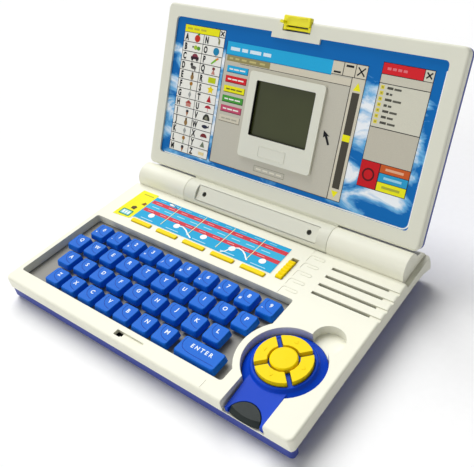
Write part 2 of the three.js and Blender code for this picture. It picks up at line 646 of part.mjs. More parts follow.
/** Spring latch: a bar over the top rim, two arms down to its pivot pins, and a tongue for the catch. */
function latch() {
  const { half, bar, top, tongueY, pivotY, pivotZ } = LATCH;
  const pins = rod(-half - 2.4, half + 2.4, pivotY, pivotZ, 1, 16);
  const plate = slab(roundedRect(-half, bar, half, top, 1), -3.6, 0.6, 0.7, 3);
  const ridge = slab(roundedRect(-half + 3, top - 1.6, half - 3, top - 0.6, 0.4), 0, 1.3, 0, 2);
  const arm = (x0, x1) => box(x0, pivotY - 1.2, -3.6, x1, bar + 1, -1.4);
  const tongue = slab(roundedRect(CATCH.left + 2, tongueY - 1, CATCH.left + 4.8, tongueY + 1, 0.6), -1, 4.6, 0, 2);
  return join(plate, ridge, tongue, pins, arm(-half, 2 - half), arm(half - 2, half));
}

add(lid, 'lid_front_casing', lidFrontCasing(), CREAM);
add(lid, 'lid_back_casing', lidBackCasing(), BLUE);
add(lid, 'lcd_module', lcdModule(), { color: 0x4c5634, roughness: 0.2 });
add(lid, 'hinge_cover', hingeCover(), CREAM);
add(lid, 'latch', latch(), YELLOW);

// ---------------------------------------------------------------- origin: middle of the underside
object.updateMatrixWorld(true);
const bounds = new THREE.Box3().setFromObject(object, true);
const middle = bounds.getCenter(new THREE.Vector3());
deck.position.x -= middle.x;
deck.position.y -= middle.y;
deck.position.z -= bounds.min.z;

export default object;
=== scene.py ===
"""Looks of a toy laptop computer: moulded cream and blue casings, a printed screen panel round a small
display, a printed strip over the mode buttons, lettered keys and a lift-out mouse."""

import json
import math
from types import SimpleNamespace

import bpy
import numpy as np
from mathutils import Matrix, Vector

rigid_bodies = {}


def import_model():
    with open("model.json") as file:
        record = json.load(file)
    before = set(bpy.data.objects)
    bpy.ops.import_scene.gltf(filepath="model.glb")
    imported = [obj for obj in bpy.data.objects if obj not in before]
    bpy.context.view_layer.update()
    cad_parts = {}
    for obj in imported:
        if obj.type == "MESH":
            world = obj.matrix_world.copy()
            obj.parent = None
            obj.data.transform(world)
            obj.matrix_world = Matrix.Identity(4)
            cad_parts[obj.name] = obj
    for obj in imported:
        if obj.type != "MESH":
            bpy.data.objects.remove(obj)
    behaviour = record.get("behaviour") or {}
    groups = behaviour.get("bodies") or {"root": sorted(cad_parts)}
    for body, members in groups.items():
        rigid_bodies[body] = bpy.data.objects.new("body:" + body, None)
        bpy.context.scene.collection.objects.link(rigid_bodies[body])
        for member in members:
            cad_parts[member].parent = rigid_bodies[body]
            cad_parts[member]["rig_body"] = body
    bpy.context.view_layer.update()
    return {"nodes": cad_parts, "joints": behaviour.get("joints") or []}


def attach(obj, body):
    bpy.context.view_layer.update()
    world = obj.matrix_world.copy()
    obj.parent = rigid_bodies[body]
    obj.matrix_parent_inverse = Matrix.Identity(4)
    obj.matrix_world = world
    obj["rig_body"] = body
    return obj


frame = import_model()

MM = 0.001

# ---------------------------------------------------------------- places, in millimetres

JOINTS = {joint["name"]: joint for joint in frame["joints"]}
HINGE = np.array(JOINTS["lid_hinge"]["pos_m"]) / MM
PRESS = JOINTS["mode_press_1"]["axis"]
DECK_SLOPE = math.atan2(PRESS[1], -PRESS[2])
LID_LEAN = math.radians(63.5)  # the lid's face turned up from the deck's
HINGE_BEHIND_FRONT = 141.85
HINGE_ABOVE_DECK = 2.7

SCREEN = SimpleNamespace(half=108.6, bottom=22.1, top=128.6, floor=-2.8)
LATCH_TAB = SimpleNamespace(half=19.5, bottom=125.0)
SURROUND = SimpleNamespace(half=31.5, bottom=38.0, top=100.0, face=-0.7)
DISPLAY = SimpleNamespace(half=24.7, bottom=54.6, top=94.1, glass=-3.1)
PRINT_THICKNESS = 0.35
TUCK = 1.0  # the sheet runs this far under the surround, whose corners are round
INK = 0.03  # height of one ink layer over the next, thicker than real so that layers never meet

KEY_PITCH = 17.0
ROW_PITCH = 16.73
ENTER_X, FIRST_ROW_Y = 43.6, 19.8
KEY_ROWS = (  # caps of a row and its first cap's place, from the front
    ("zxcvbnm", -86.1),
    ("asdfghjkl", -93.6),
    ("qwertyuiop", -101.9),
    ("0123456789", -95.5),
)
KEY_TOP = 1.0
MOUSE_X, MOUSE_Y = 88.6, 41.0


def turned_about_x(angle, origin):
    """4x4 that turns points about X by the angle and then moves them by origin."""
    c, s = math.cos(angle), math.sin(angle)
    place = np.eye(4)
    place[1:3, 1:3] = [[c, -s], [s, c]]
    place[:3, 3] = origin
    return place


hinge_in_deck = np.array([0, HINGE_BEHIND_FRONT, HINGE_ABOVE_DECK, 0])
DECK = turned_about_x(DECK_SLOPE, (0, 0, 0))
DECK[:3, 3] = HINGE - (DECK @ hinge_in_deck)[:3]
LID = turned_about_x(DECK_SLOPE + LID_LEAN, HINGE)
LEVEL = np.eye(4)

# ---------------------------------------------------------------- colours and materials


def linear(shade):
    """An sRGB hex colour as linear red, green, blue and 1."""
    parts = [int(shade[i : i + 2], 16) / 255 for i in (1, 3, 5)]
    return tuple(p / 12.92 if p <= 0.04045 else ((p + 0.055) / 1.055) ** 2.4 for p in parts) + (1.0,)


def scaled(shade, factor):
    """The same colour lighter or darker by a factor on its linear values."""
    return tuple(min(1.0, p * factor) for p in linear(shade)[:3]) + (1.0,)


def add(tree, kind, inputs=None, **settings):
    """Adds one node. Settings are its own attributes; inputs gives each socket a value or a link."""
    node = tree.nodes.new(kind)
    for key, value in settings.items():
        setattr(node, key, value)
    for socket, value in (inputs or {}).items():
        if isinstance(value, bpy.types.NodeSocket):
            tree.links.new(value, node.inputs[socket])
        else:
            node.inputs[socket].default_value = value
    return node


def new_material(name):
    """An empty node material and its tree."""
    material = bpy.data.materials.new(name)
    material.use_nodes = True
    material.node_tree.nodes.clear()
    return material, material.node_tree


def surface(tree, inputs):
    """The Principled shader with these inputs, wired to the output."""
    shader = add(tree, "ShaderNodeBsdfPrincipled", inputs)
    add(tree, "ShaderNodeOutputMaterial", {"Surface": shader.outputs["BSDF"]})


def moulded(
    name, shade, roughness, tone=0.03, grain=0.7, depth=0.012, edge=0.35, ior=1.53, gloss=0.35
):
    """Injection-moulded plastic. A broad cloud shifts its colour by tone, a mould grain of that many
    millimetres gives bump and roughness, and corners are rounded by the edge radius in millimetres."""
    material, tree = new_material(name)
    place = add(tree, "ShaderNodeTexCoord").outputs["Object"]
    cloud = add(tree, "ShaderNodeTexNoise", {"Vector": place, "Scale": 1 / (38 * MM), "Detail": 3.0})
    colour = add(
        tree,
        "ShaderNodeMix",
        {0: cloud.outputs["Fac"], 6: scaled(shade, 1 - tone), 7: scaled(shade, 1 + tone)},
        data_type="RGBA",
    )
    texture = add(tree, "ShaderNodeTexNoise", {"Vector": place, "Scale": 1 / (grain * MM), "Detail": 2.0})
    grains = texture.outputs["Fac"]
    sheen = add(
        tree,
        "ShaderNodeMapRange",
        {
            "Value": grains,
            "From Min": 0.3,
            "From Max": 0.7,
            "To Min": roughness - 0.05,
            "To Max": roughness + 0.06,
        },
    )
    corner = add(tree, "ShaderNodeBevel", {"Radius": edge * MM}, samples=4).outputs["Normal"]
    relief = {"Height": grains, "Strength": 0.35, "Distance": depth * MM, "Normal": corner}
    bump = add(tree, "ShaderNodeBump", relief)
    surface(
        tree,
        {
            "Base Color": colour.outputs[2],
            "Roughness": sheen.outputs["Result"],
            "Normal": bump.outputs["Normal"],
            "IOR": ior,
            "Specular IOR Level": gloss,
        },
    )
    return material


# ABS with a spark-eroded mould grain: the eye gets a soft warm white with a broad dull highlight. The
# real grain is about 0.2 mm and is drawn at 0.7 mm, so that it shows.
CREAM_ABS = moulded("cream_abs_spark_grain", "#f0efdd", 0.48)
# The lid's casing of the same ABS, painted a shade greyer: painted shade, because the lid's face turns away
# from the light.
LID_ABS_PAINTED_SHADE = moulded("lid_abs_grain_painted_shade", "#e4e4d3", 0.5)
# Dark blue ABS of the tray and the lid's back: matt, with hardly any highlight.
CASING_ABS = moulded("casing_blue_abs", "#33439a", 0.52, tone=0.05)
# Blue ABS of the mouse, polished mould: a wet-looking narrow highlight.
MOUSE_ABS = moulded("mouse_blue_polished_abs", "#0642c2", 0.42, tone=0.04, depth=0.004, edge=0.6, gloss=0.1)
# Blue key caps: satin mould with rounded corners that catch a light line along the top's rim.
KEY_ABS = moulded("key_cap_blue_abs", "#0468d4", 0.42, tone=0.06, depth=0.008, edge=0.4, gloss=0.1)
# The arc on each cap, moulded with it in the same blue and painted darker: painted shade for the shadow
# along the line.
KEY_LINE_PAINTED_SHADE = moulded("key_cap_line_painted_shade", "#063fa4", 0.4, edge=0.1, gloss=0.15)
# Yellow buttons in polished ABS: saturated, with a clear highlight.
YELLOW_ABS = moulded("button_yellow_abs", "#fbdc00", 0.42, tone=0.04, depth=0.004, edge=0.5, gloss=0.08)
# The latch's yellow acetal, greener and waxier than the buttons.
LATCH_ACETAL = moulded("latch_yellow_acetal", "#f6ec12", 0.38, tone=0.04, edge=0.4, ior=1.48)
# Matt gray plate under the keys: plain unpolished styrene.
BED_STYRENE = moulded("key_bed_gray_styrene", "#94928a", 0.6, tone=0.06)
# The thumb button's dark gray ABS with a fine grain.
THUMB_ABS = moulded("thumb_button_dark_gray_abs", "#1e2725", 0.42, tone=0.06, edge=0.3, gloss=0.15)
# Silicone mat of the keys, inside: milky gray and dull.
MAT_SILICONE = moulded("key_mat_silicone", "#7d7d7b", 0.65, ior=1.41)
# Speaker frame and cone: black and dull.
SPEAKER_PAPER = moulded("speaker_black_paper", "#1c1c1e", 0.75, grain=1.2, depth=0.03)
# Black painted shade: a liner on the inner wall of the display's window and the bars in the screws' cross
# recesses, where shadow falls.
PAINTED_SHADE_BLACK = moulded("painted_shade_black", "#12140f", 0.55, edge=0.1)


def two_tone(name, first, second, size, finish, kind="ShaderNodeTexNoise", pattern=None, **bands):
    """A material whose colour wavers between two shades in a pattern of that many millimetres."""
    material, tree = new_material(name)
    place = add(tree, "ShaderNodeTexCoord").outputs["Object"]
    clouds = add(tree, kind, {"Vector": place, "Scale": 1 / (size * MM), **(pattern or {})}, **bands)
    shades = {0: clouds.outputs["Fac"], 6: linear(first), 7: linear(second)}
    colour = add(tree, "ShaderNodeMix", shades, data_type="RGBA")
    surface(tree, {"Base Color": colour.outputs[2], **finish})
    return material


# Glass-epoxy board under green solder mask: copper lanes show as lighter wavering stripes.
BOARD = two_tone(
    "circuit_board_green_mask",
    "#14532f",
    "#2b7a49",
    8,
    {"Roughness": 0.35, "IOR": 1.5},
    kind="ShaderNodeTexWave",
    pattern={"Distortion": 3.0, "Detail": 2.0},
    bands_direction="X",
)
# White PVC film of the label strip, seen as its edge: smooth, with faint waves from the roller.
LABEL_FILM = two_tone("label_white_pvc_film", "#e9ebe2", "#f6f7f0", 6, {"Roughness": 0.4, "IOR": 1.54})
# Pad-printed white ink on the caps: opaque, slightly chalky, thinner in spots.
LEGEND_INK = two_tone("legend_white_pad_print", "#cfe6fb", "#fbfdff", 0.9, {"Roughness": 0.55, "IOR": 1.5})
# Matt paper of the studio's floor, with a faint fibre.
FLOOR_PAPER = two_tone("studio_floor_paper", "#f6f6f6", "#fafafa", 5, {"Roughness": 0.95})


def display_cell():
    """Twisted-nematic display cell behind a clear window: a dark olive that is a little lighter in
    patches, under a smooth glossy face."""
    material, tree = new_material("display_cell_olive_glass")
    place = add(tree, "ShaderNodeTexCoord").outputs["Object"]
    patches = add(tree, "ShaderNodeTexNoise", {"Vector": place, "Scale": 1 / (30 * MM), "Detail": 1.0})
    shades = {0: patches.outputs["Fac"], 6: linear("#363b18"), 7: linear("#41471f")}
    colour = add(tree, "ShaderNodeMix", shades, data_type="RGBA")
    grain = add(tree, "ShaderNodeTexNoise", {"Vector": place, "Scale": 1 / (1.5 * MM)})
    relief = {"Height": grain.outputs["Fac"], "Strength": 0.05, "Distance": 0.01 * MM}
    bump = add(tree, "ShaderNodeBump", relief)
    surface(
        tree,
        {
            "Base Color": colour.outputs[2],
            "Roughness": 0.3,
            "IOR": 1.49,
            "Specular IOR Level": 0.2,
            "Normal": bump.outputs["Normal"],
        },
    )
    return material


def plated_steel():
    """Black-oxide steel of the small screws: dark metal, rougher where the driver has rubbed it."""
    material, tree = new_material("screw_black_oxide_steel")
    place = add(tree, "ShaderNodeTexCoord").outputs["Object"]
    rub = add(tree, "ShaderNodeTexNoise", {"Vector": place, "Scale": 1 / (0.8 * MM), "Detail": 2.0})
    rough = add(tree, "ShaderNodeMapRange", {"Value": rub.outputs["Fac"], "To Min": 0.3, "To Max": 0.55})
    shades = {0: rub.outputs["Fac"], 6: linear("#2b2a26"), 7: linear("#4c4a42")}
    colour = add(tree, "ShaderNodeMix", shades, data_type="RGBA")
    finish = {"Roughness": rough.outputs["Result"], "Metallic": 0.9}
    surface(tree, {"Base Color": colour.outputs[2], **finish})
    return material


def printed_ink():
    """Offset-printed film under a clear laminate: each shape's own ink, with a print screen of 0.6 mm
    that mottles it slightly, below a smooth glossy face. The real screen is about 0.15 mm."""
    material, tree = new_material("offset_print_under_laminate")
    place = add(tree, "ShaderNodeTexCoord").outputs["Object"]
    ink = add(tree, "ShaderNodeAttribute", attribute_name="ink")
    screen = add(tree, "ShaderNodeTexNoise", {"Vector": place, "Scale": 1 / (0.6 * MM), "Detail": 2.0})
    mottle = {"Value": screen.outputs["Fac"], "To Min": 0.93, "To Max": 1.07}
    strength = add(tree, "ShaderNodeMapRange", mottle)
    ink_and_strength = {0: ink.outputs["Color"], "Scale": strength.outputs["Result"]}
    mottled = add(tree, "ShaderNodeVectorMath", ink_and_strength, operation="SCALE")
    finish = {"Roughness": 0.5, "IOR": 1.49, "Specular IOR Level": 0.12}
    surface(tree, {"Base Color": mottled.outputs["Vector"], **finish})
    return material


def printed_sky():
    """The panel's printed sky: deep blue at the top, and below it clouds from a warped noise about
    25 mm across, cut to white, which get denser towards the bottom. UV is the panel in decimetres."""
    material, tree = new_material("offset_print_sky")
    panel = add(tree, "ShaderNodeUVMap", uv_map="panel").outputs["UV"]
    stretched = add(tree, "ShaderNodeMapping", {"Vector": panel, "Scale": (0.75, 1.3, 1.0)})
    warp = {"Scale": 4.6, "Detail": 5.0, "Roughness": 0.55, "Distortion": 0.5}
    clouds = add(tree, "ShaderNodeTexNoise", {"Vector": stretched.outputs["Vector"], **warp})
    along = add(tree, "ShaderNodeSeparateXYZ", {0: panel})
    amount = clouds.outputs["Fac"]
    # direction, where the change starts and ends, and what it adds to the clouds at both
    for direction, start, end, first, last in (
        ("Y", 1.17, 1.04, -0.3, 0.04),
        ("Y", 0.4, 0.22, 0.0, -0.2),
        ("X", 0.97, 1.06, 0.0, -0.2),
    ):
        span = {"From Min": start, "From Max": end, "To Min": first, "To Max": last}
        change = add(tree, "ShaderNodeMapRange", {"Value": along.outputs[direction], **span})
        both = {0: amount, 1: change.outputs["Result"]}
        amount = add(tree, "ShaderNodeMath", both, operation="ADD").outputs[0]
    ramp = add(tree, "ShaderNodeValToRGB", {"Fac": amount})
    stops = ramp.color_ramp
    stops.elements[0].position, stops.elements[0].color = 0.40, linear("#0a6bb8")
    stops.elements[1].position, stops.elements[1].color = 0.60, linear("#f6fbff")
    middle = stops.elements.new(0.49)
    middle.color = linear("#6fb6e6")
    finish = {"Roughness": 0.5, "IOR": 1.49, "Specular IOR Level": 0.08}
    surface(tree, {"Base Color": ramp.outputs["Color"], **finish})
    return material


DISPLAY_CELL = display_cell()
SCREW_STEEL = plated_steel()
INK_MATERIAL = printed_ink()
SKY = printed_sky()

NODE_FINISHES = {
    "lid_front_casing": LID_ABS_PAINTED_SHADE,
    "hinge_cover": LID_ABS_PAINTED_SHADE,
    "base_top_casing": CREAM_ABS,
    "base_bottom_casing": CASING_ABS,
    "battery_cover": CASING_ABS,
    "lid_back_casing": CASING_ABS,
    "lcd_module": DISPLAY_CELL,
    "latch": LATCH_ACETAL,
    "key_bed": BED_STYRENE,
    "key_membrane": MAT_SILICONE,
    "main_board": BOARD,
    "speaker": SPEAKER_PAPER,
    "mouse_top_shell": MOUSE_ABS,
    "mouse_bottom_shell": MOUSE_ABS,
    "thumb_button": THUMB_ABS,
    "select_button": YELLOW_ABS,
    "arrow_ring": YELLOW_ABS,
    "volume_slider": YELLOW_ABS,
}


def finish_of(node):
    """The material of a carried-over CAD node, by its name."""
    if node in NODE_FINISHES:
        return NODE_FINISHES[node]
    return YELLOW_ABS if node.startswith("mode_button") else KEY_ABS


for node_name, node_object in frame["nodes"].items():
    node_object.data.materials.clear()
    node_object.data.materials.append(finish_of(node_name))

# ---------------------------------------------------------------- surfaces


def ring_faces(rings, points, closed=True):
    """Quads between successive rings of points, as an array of four indices each."""
    r, p = np.meshgrid(np.arange(rings - 1), np.arange(points if closed else points - 1), indexing="ij")
    q = (p + 1) % points
    near, far = r * points, (r + 1) * points
    return np.stack([near + p, near + q, far + q, far + p], -1).reshape(-1, 4)


def rounded_rectangle(x0, y0, x1, y1, radius):
    """Outline of a rectangle whose corners are quarter circles of six points, anticlockwise."""
    quarter = np.linspace(0, np.pi / 2, 6)
    left, right, front, back = x0 + radius, x1 - radius, y0 + radius, y1 - radius
    corners = []
    for k, centre in enumerate(((right, back), (left, back), (left, front), (right, front))):
        turn = quarter + k * np.pi / 2
        corners.append(np.array(centre) + radius * np.stack([np.cos(turn), np.sin(turn)], -1))
    return np.concatenate(corners)


def prism(outline, low, high, soften=0.0):
    """A flat outline carried from low to high, with its top drawn in by soften as a chamfer."""
    outline = np.asarray(outline, float)
    centre = outline.mean(0)
    reach = np.linalg.norm(outline - centre, axis=1, keepdims=True)
    inner = centre + (outline - centre) * (1 - soften / np.maximum(reach, 1e-6))
    levels = [(outline, low), (outline, high - soften), (inner, high)]
    if not soften:
        levels = levels[:2]
    rings = [np.column_stack([points, np.full(len(points), z)]) for points, z in levels]
    n = len(outline)
    faces = ring_faces(len(rings), n).tolist()
    faces += [list(range(n))[::-1], list(range((len(rings) - 1) * n, len(rings) * n))]
    return np.concatenate(rings), faces


def bead(path, half_width, height, base, closed=False, sides=5):
    """A half-round ridge along a path: at each point the section is half an ellipse across the path,
    half_width to each side and height tall, standing on base. Open ends shrink to a blunt tip."""
    path = np.asarray(path, float)
    if closed:
        tangent = np.roll(path, -1, 0) - np.roll(path, 1, 0)
    else:
        tangent = np.gradient(path, axis=0)
    tangent /= np.maximum(np.linalg.norm(tangent, axis=1, keepdims=True), 1e-9)
    across = np.stack([tangent[:, 1], -tangent[:, 0]], -1)
    angle = np.linspace(0, np.pi, sides)
    size = np.ones(len(path))
    if not closed:
        size[[0, -1]] = 0.25
    reach = (half_width * size)[:, None, None] * np.cos(angle)[None, :, None]
    plan = path[:, None] + across[:, None] * reach
    lift = base + height * size[:, None] * np.sin(angle)[None]
    points = np.concatenate([plan, lift[..., None]], -1)
    faces = ring_faces(len(path) + (1 if closed else 0), sides)
    faces = (faces % (len(path) * sides)).tolist()
    if not closed:
        last = (len(path) - 1) * sides
        faces += [list(range(sides)), list(range(last, last + sides))[::-1]]
    return points.reshape(-1, 3), faces


def revolved(profile, centre, steps=20):
    """A profile of (radius, height) points turned about the vertical through centre."""
    profile = np.asarray(profile, float)
    turn = np.arange(steps) * 2 * np.pi / steps
    ring = np.stack([np.cos(turn), np.sin(turn)], -1)
    plan = np.asarray(centre, float) + profile[:, 0, None, None] * ring[None]
    points = np.concatenate([plan, np.broadcast_to(profile[:, 1, None, None], plan.shape[:2] + (1,))], -1)
    faces = ring_faces(len(profile), steps).tolist()
    faces += [list(range(steps))[::-1], list(range((len(profile) - 1) * steps, len(profile) * steps))]
    return points.reshape(-1, 3), faces


def glyphs(words, centre, height, spacing=1.0, stretch=1.0, bold=0.02):
    """Plain sans-serif letters as flat faces: their outlines filled, scaled to a cap height in
    millimetres and centred. Returns points in the plane and faces."""
    curve = bpy.data.curves.new("letters", "FONT")
    curve.body = words
    curve.offset = bold
    curve.space_character = spacing
    curve.resolution_u = 3
    holder = bpy.data.objects.new("letters", curve)
    mesh = bpy.data.meshes.new_from_object(holder)
    points = np.zeros(len(mesh.vertices) * 3)
    mesh.vertices.foreach_get("co", points)
    points = points.reshape(-1, 3)[:, :2]
    faces = [list(p.vertices) for p in mesh.polygons]
    bpy.data.objects.remove(holder)
    bpy.data.curves.remove(curve)
    bpy.data.meshes.remove(mesh)
    cap = 0.7  # cap height of the built-in letters for a size of 1
    low, high = points.min(0), points.max(0)
    points = (points - (low + high) / 2) * height / cap
    return points * (stretch, 1.0) + centre, faces


def piece(name, body, place, parts, smooth=False, uv=None):
    """One object of several (points in mm, faces, material) parts, put in the row frame by place."""
    points, faces, marks, materials = [], [], [], []
    for part_points, part_faces, material in parts:
        start = sum(len(p) for p in points)
        if material not in materials:
            materials.append(material)
        points.append(np.asarray(part_points, float))
        faces += [[i + start for i in face] for face in part_faces]
        marks += [materials.index(material)] * len(part_faces)
    points = np.concatenate(points)
    placed = (points @ place[:3, :3].T + place[:3, 3]) * MM
    mesh = bpy.data.meshes.new(name)
    mesh.from_pydata(placed.tolist(), [], faces)
    mesh.polygons.foreach_set("material_index", marks)
    mesh.polygons.foreach_set("use_smooth", [smooth] * len(faces))
    for material in materials:
        mesh.materials.append(material)
    if uv:
        layer = mesh.uv_layers.new(name=uv)
        corners = np.zeros(len(mesh.loops), int)
        mesh.loops.foreach_get("vertex_index", corners)
        layer.data.foreach_set("uv", (points[corners, :2] / 100).ravel())
    mesh.validate()
    mesh.update()
    made = bpy.data.objects.new(name, mesh)
    bpy.context.scene.collection.objects.link(made)
    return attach(made, body)


class Artwork:
    """Flat ink shapes in one plane, in millimetres. Each layer lies one ink height over the last."""

    def __init__(self):
        self.points, self.faces, self.shades = [], [], []
        self.count = 0

    def mesh(self, points, faces, shade, layer):
        """Flat faces of one colour in a layer."""
        points = np.asarray(points, float)
        self.points.append(np.column_stack([points, np.full(len(points), layer * INK)]))
        self.faces += [[i + self.count for i in face] for face in faces]
        self.shades += [linear(shade)] * len(faces)
        self.count += len(points)

    def shape(self, outline, shade, layer):
        """One filled outline, anticlockwise or not."""
        outline = np.asarray(outline, float)
        after = np.roll(outline, -1, 0)
        if np.sum(outline[:, 0] * after[:, 1] - after[:, 0] * outline[:, 1]) < 0:
            outline = outline[::-1]
        self.mesh(outline, [list(range(len(outline)))], shade, layer)

    def box(self, x0, y0, x1, y1, shade, layer):
        """A filled rectangle."""
        self.shape([(x0, y0), (x1, y0), (x1, y1), (x0, y1)], shade, layer)

    def boxes(self, places, shade, layer):
        """Filled rectangles of one colour."""
        for place in places:
            self.box(*place, shade, layer)

    def outlined(self, x0, y0, x1, y1, fill, line, width, layer):
        """A filled rectangle with a line round it: the line's colour below, the fill a little smaller."""
        self.box(x0, y0, x1, y1, line, layer)
        self.box(x0 + width, y0 + width, x1 - width, y1 - width, fill, layer + 1)

    def oval(self, x, y, rx, ry, shade, layer, start=0.0, end=2 * np.pi):
        """A filled ellipse of twenty points, or the part of it between two angles."""
        turn = np.linspace(start, end, 20, endpoint=end - start < 2 * np.pi)
        self.shape(np.stack([x + rx * np.cos(turn), y + ry * np.sin(turn)], -1), shade, layer)

    def stroke(self, path, width, shade, layer):
        """A ribbon of even width along a path of points."""
        path = np.asarray(path, float)
        tangent = np.gradient(path, axis=0)
        tangent /= np.linalg.norm(tangent, axis=1, keepdims=True)
        across = np.stack([-tangent[:, 1], tangent[:, 0]], -1) * width / 2
        n = len(path)
        faces = [[n + i, n + i + 1, i + 1, i] for i in range(n - 1)]
        self.mesh(np.concatenate([path + across, path - across]), faces, shade, layer)

    def words(self, text, x, y, height, shade, layer, **style):
        """Letters centred on a point."""
        points, faces = glyphs(text, (x, y), height, **style)
        self.mesh(points, faces, shade, layer)

    def piece(self, name, body, place, base):
        """All shapes as one object whose faces carry their ink as a colour attribute."""
        points = np.concatenate(self.points) + (0, 0, base)
        made = piece(name, body, place, [(points, self.faces, INK_MATERIAL)])
        corners = np.zeros(len(made.data.polygons), int)
        made.data.polygons.foreach_get("loop_total", corners)
        attribute = made.data.attributes.new("ink", "FLOAT_COLOR", "CORNER")
        attribute.data.foreach_set("color", np.repeat(np.array(self.shades), corners, 0).ravel())
        return made


def plate_of_cells(xs, ys, skipped, low, high):
    """A flat plate on a grid of cells, with the skipped cells left open: top and bottom faces for each
    kept cell, and a wall wherever a kept cell has no kept neighbour."""
    nx, ny = len(xs), len(ys)
    grid = np.stack(np.meshgrid(xs, ys, indexing="ij"), -1).reshape(-1, 2)
    points = np.concatenate([np.column_stack([grid, np.full(nx * ny, z)]) for z in (low, high)])
    top = nx * ny
    kept = {(i, j) for i in range(nx - 1) for j in range(ny - 1)} - set(skipped)
    faces = []
    for i, j in sorted(kept):
        a, b, c, d = i * ny + j, (i + 1) * ny + j, (i + 1) * ny + j + 1, i * ny + j + 1
        faces += [[top + a, top + b, top + c, top + d], [d, c, b, a]]
        neighbours = ((i, j - 1), (i + 1, j), (i, j + 1), (i - 1, j))
        for u, v, other in zip((a, b, c, d), (b, c, d, a), neighbours):
            if other not in kept:
                faces.append([u, v, top + v, top + u])
    return points, faces


# ---------------------------------------------------------------- the printed screen panel

INK_BLACK, INK_WHITE, INK_GRAY, INK_STRIP = "#1c1c20", "#f4f3ea", "#c9c5b5", "#d9d2bd"
INK_RED, INK_YELLOW, INK_CYAN, INK_GREEN, INK_PINK = "#dc222c", "#f4ee18", "#22aee2", "#3f9a36", "#c9506e"
INK_ORANGE, INK_OLIVE, INK_TEAL = "#cd5c26", "#9a9160", "#1c88b4"

PICTURE_TABLE = SimpleNamespace(
    left=-100.3, middle=-80.4, right=-60.2, top=124.0, title=118.3, bottom=26.2
)
MAIN_WINDOW = SimpleNamespace(
    left=-57.2, right=57.4, bottom=26.8, top=117.0, title=108.0, strip=102.8,
    menu=-17.0, scroll=47.8, boxes=32.0,
)
SIDE_WINDOW = SimpleNamespace(
    left=67.0, right=101.3, bottom=41.6, top=121.7, title=114.6, strip=109.0,
    list=81.2, tiles=59.5,
)
# fill, shadow and dashes of each button beside the display, from the top
SIDE_BUTTONS = (
    (INK_CYAN, "#0f6c9c", INK_WHITE),
    (INK_RED, "#8c1620", INK_WHITE),
    (INK_YELLOW, "#7c7810", "#6c6820"),
    ("#4ba03c", "#1f5a24", INK_WHITE),
    (INK_PINK, "#7c2c48", INK_WHITE),
    (INK_STRIP, "#8a8674", "#b0ac98"),
)
CURSOR = ((35.2, 71.2), (35.6, 66.2), (36.9, 67.2), (39.9, 61.8), (41.3, 62.5), (38.5, 67.9), (40.3, 67.9))
# front edge, back edge, ink and dash of the side window's colour tiles
TILES = (
    (53.9, 59.1, INK_ORANGE, "#e8b08c"),
    (48.1, 53.5, "#2b9fd0", "#9cd4ec"),
    (42.0, 47.7, "#f2ee1c", "#b4b43c"),
)


def printed_panel():
    """The sheet in the lid's recess, open where the display's surround stands and under the latch tab."""
    hole, tab = SURROUND.half - TUCK, LATCH_TAB.half
    xs = [-SCREEN.half, -hole, -tab, tab, hole, SCREEN.half]
    hole_bottom, hole_top = SURROUND.bottom + TUCK, SURROUND.top - TUCK
    ys = [SCREEN.bottom, hole_bottom, hole_top, LATCH_TAB.bottom, SCREEN.top]
    low, high = SCREEN.floor + 0.05, SCREEN.floor + PRINT_THICKNESS
    points, faces = plate_of_cells(xs, ys, [(1, 1), (2, 1), (3, 1), (2, 3)], low, high)
    return piece("screen_panel_sheet", "lid", LID, [(points, faces, SKY)], uv="panel")


UPPER_HALF = (0, np.pi)
STAR_TURN = np.arange(10) * np.pi / 5 + np.pi / 2
STAR_REACH = np.where(np.arange(10) % 2 == 0, 1.1, 0.6)
STAR = np.stack([STAR_REACH * np.cos(STAR_TURN), STAR_REACH * np.sin(STAR_TURN)], -1)

